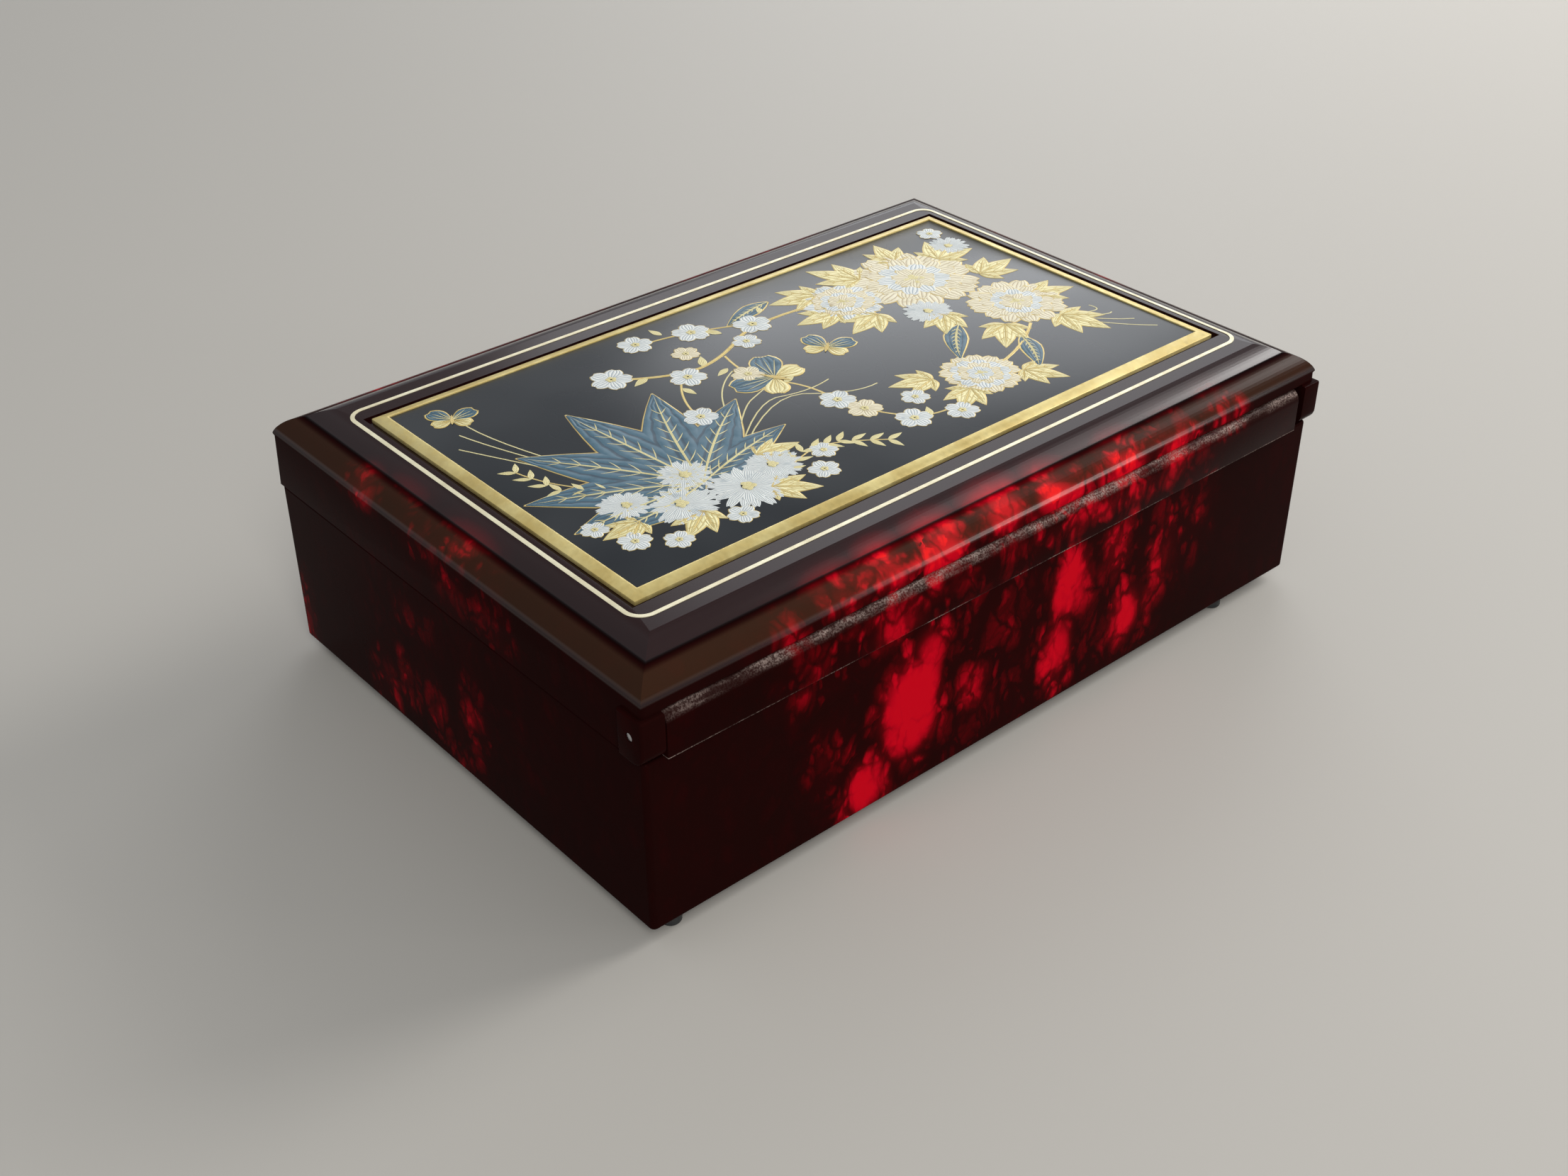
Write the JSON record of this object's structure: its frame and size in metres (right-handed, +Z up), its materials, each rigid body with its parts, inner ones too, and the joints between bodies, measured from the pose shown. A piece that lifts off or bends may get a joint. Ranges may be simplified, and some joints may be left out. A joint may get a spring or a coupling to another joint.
{
  "type": "musical jewellery box",
  "caption": "Rectangular jewellery box with a hinged lid, inlaid top panel, ring rolls, lined compartments, a lid mirror and a wind-up musical movement under a clear window.",
  "frame": {"origin": "middle of the footprint, on the table under the feet", "axes": "+X along the hinge side, +Y from the hinge side to the front where the lid is lifted, +Z up"},
  "size_m": [0.2326, 0.1586, 0.075],
  "materials": {
    "ruby_plastic": "high gloss, translucent ruby with dark tortoiseshell clouds",
    "gold_foil": "thin satin gold foil, dull and a little worn",
    "lacquer_panel": "satin dark slate panel printed with a flower and bird design",
    "steel": "bright plated steel",
    "rubber": "matt black rubber",
    "velvet": "deep red velvet over card",
    "roll_velvet": "deep red velvet over soft foam",
    "dark_plastic": "dark red moulded plastic",
    "clear_plastic": "clear acrylic",
    "mirror": "silvered glass",
    "fibreboard": "plain brown fibreboard",
    "brass": "turned and stamped brass",
    "zinc": "die-cast zinc with a pale gold wash"
  },
  "bodies": {
    "base": {"base_shell": "ruby_plastic", "hinge_rail": "ruby_plastic", "hinge_pin_left": "steel", "hinge_pin_right": "steel", "rear_left_foot": "rubber", "rear_right_foot": "rubber", "front_left_foot": "rubber", "front_right_foot": "rubber", "base_liner": "velvet", "bay_partition": "velvet", "movement_partition": "velvet", "rear_partition": "velvet", "ring_partition": "velvet", "ring_bed": "velvet", "ring_roll_1": "roll_velvet", "ring_roll_2": "roll_velvet", "ring_roll_3": "roll_velvet", "ring_roll_4": "roll_velvet", "ring_roll_5": "roll_velvet", "ring_roll_6": "roll_velvet", "window_frame": "dark_plastic", "window_pane": "clear_plastic", "plunger_bushing": "brass", "bedplate": "zinc", "movement_screws": "steel", "comb": "steel", "comb_bar": "brass", "comb_screws": "steel", "governor_bracket": "brass", "governor_screws": "steel"},
    "lid": {"lid_shell": "ruby_plastic", "gold_line": "gold_foil", "gold_border": "gold_foil", "art_panel": "lacquer_panel", "mirror_frame": "dark_plastic", "mirror_glass": "mirror", "mirror_backing": "fibreboard"},
    "key": {"winding_key": "steel", "winding_arbor": "steel"},
    "barrel": {"spring_barrel": "brass", "barrel_cap": "brass"},
    "cylinder": {"pinned_cylinder": "brass", "cylinder_arbor": "steel", "cylinder_wheel": "brass", "cylinder_pinion": "brass"},
    "governor": {"governor_arbor": "steel", "worm_wheel": "dark_plastic"},
    "worm": {"worm_spindle": "steel", "air_fan": "brass"},
    "plunger": {"stop_plunger": "steel"}
  },
  "joints": [
    {"name": "lid_hinge", "type": "hinge", "parent": "base", "child": "lid", "pos_m": [0, -0.075, 0.0582], "axis": [1, 0, 0], "range_deg": [0, 108]},
    {"name": "key_turn", "type": "hinge", "parent": "base", "child": "key", "pos_m": [0.08, -0.044, 0.014], "axis": [0, 0, 1], "continuous": true},
    {"name": "barrel_turn", "type": "hinge", "parent": "base", "child": "barrel", "pos_m": [0.08, -0.044, 0.031], "axis": [0, 0, 1], "continuous": true},
    {"name": "cylinder_turn", "type": "hinge", "parent": "base", "child": "cylinder", "pos_m": [0.08, -0.02, 0.031], "axis": [0, 1, 0], "continuous": true},
    {"name": "governor_turn", "type": "hinge", "parent": "base", "child": "governor", "pos_m": [0.0899, -0.008, 0.031], "axis": [0, 1, 0], "continuous": true},
    {"name": "worm_turn", "type": "hinge", "parent": "base", "child": "worm", "pos_m": [0.0951, -0.005, 0.031], "axis": [0, 0, 1], "continuous": true},
    {"name": "plunger_slide", "type": "slide", "parent": "base", "child": "plunger", "axis": [0, 0, 1], "range_m": [0, 0.003]}
  ],
  "couplings": [
    {"joint": "cylinder_turn", "follows": "barrel_turn", "ratio": 3},
    {"joint": "governor_turn", "follows": "barrel_turn", "ratio": -8},
    {"joint": "worm_turn", "follows": "barrel_turn", "ratio": -48},
    {"joint": "plunger_slide", "follows": "lid_hinge", "m_per_rad": 0.00159}
  ]
}
